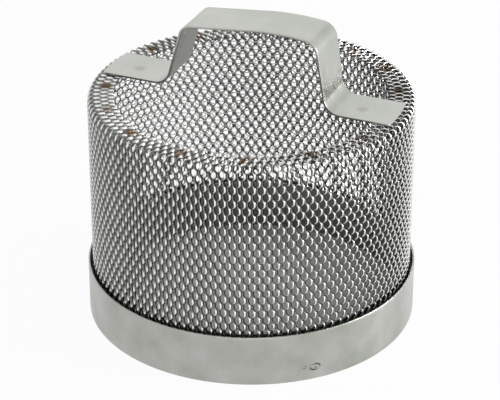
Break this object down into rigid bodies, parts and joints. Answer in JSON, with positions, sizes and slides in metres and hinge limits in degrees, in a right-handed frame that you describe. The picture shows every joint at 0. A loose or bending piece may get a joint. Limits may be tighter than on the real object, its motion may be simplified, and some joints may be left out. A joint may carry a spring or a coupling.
{
  "type": "mesh strainer basket",
  "caption": "Round expanded-metal strainer basket with an open banded rim, a folded mesh flange over a mesh end disc and a bent strip handle.",
  "frame": {"origin": "centre of the open rim, in the plane that the rim stands on", "axes": "+Z along the basket's axis, from the open rim to the mesh end; +X along the handle strip"},
  "size_m": [0.09, 0.09, 0.0845],
  "materials": {
    "band_steel": "satin rolled stainless steel strip",
    "mesh_steel": "unflattened expanded stainless steel mesh, browned at its spot welds",
    "handle_steel": "smooth cold-rolled stainless steel strip"
  },
  "bodies": {
    "root": {"outer_band": "band_steel", "inner_band": "band_steel", "side_mesh": "mesh_steel", "end_mesh": "mesh_steel", "handle": "handle_steel"}
  },
  "joints": []
}
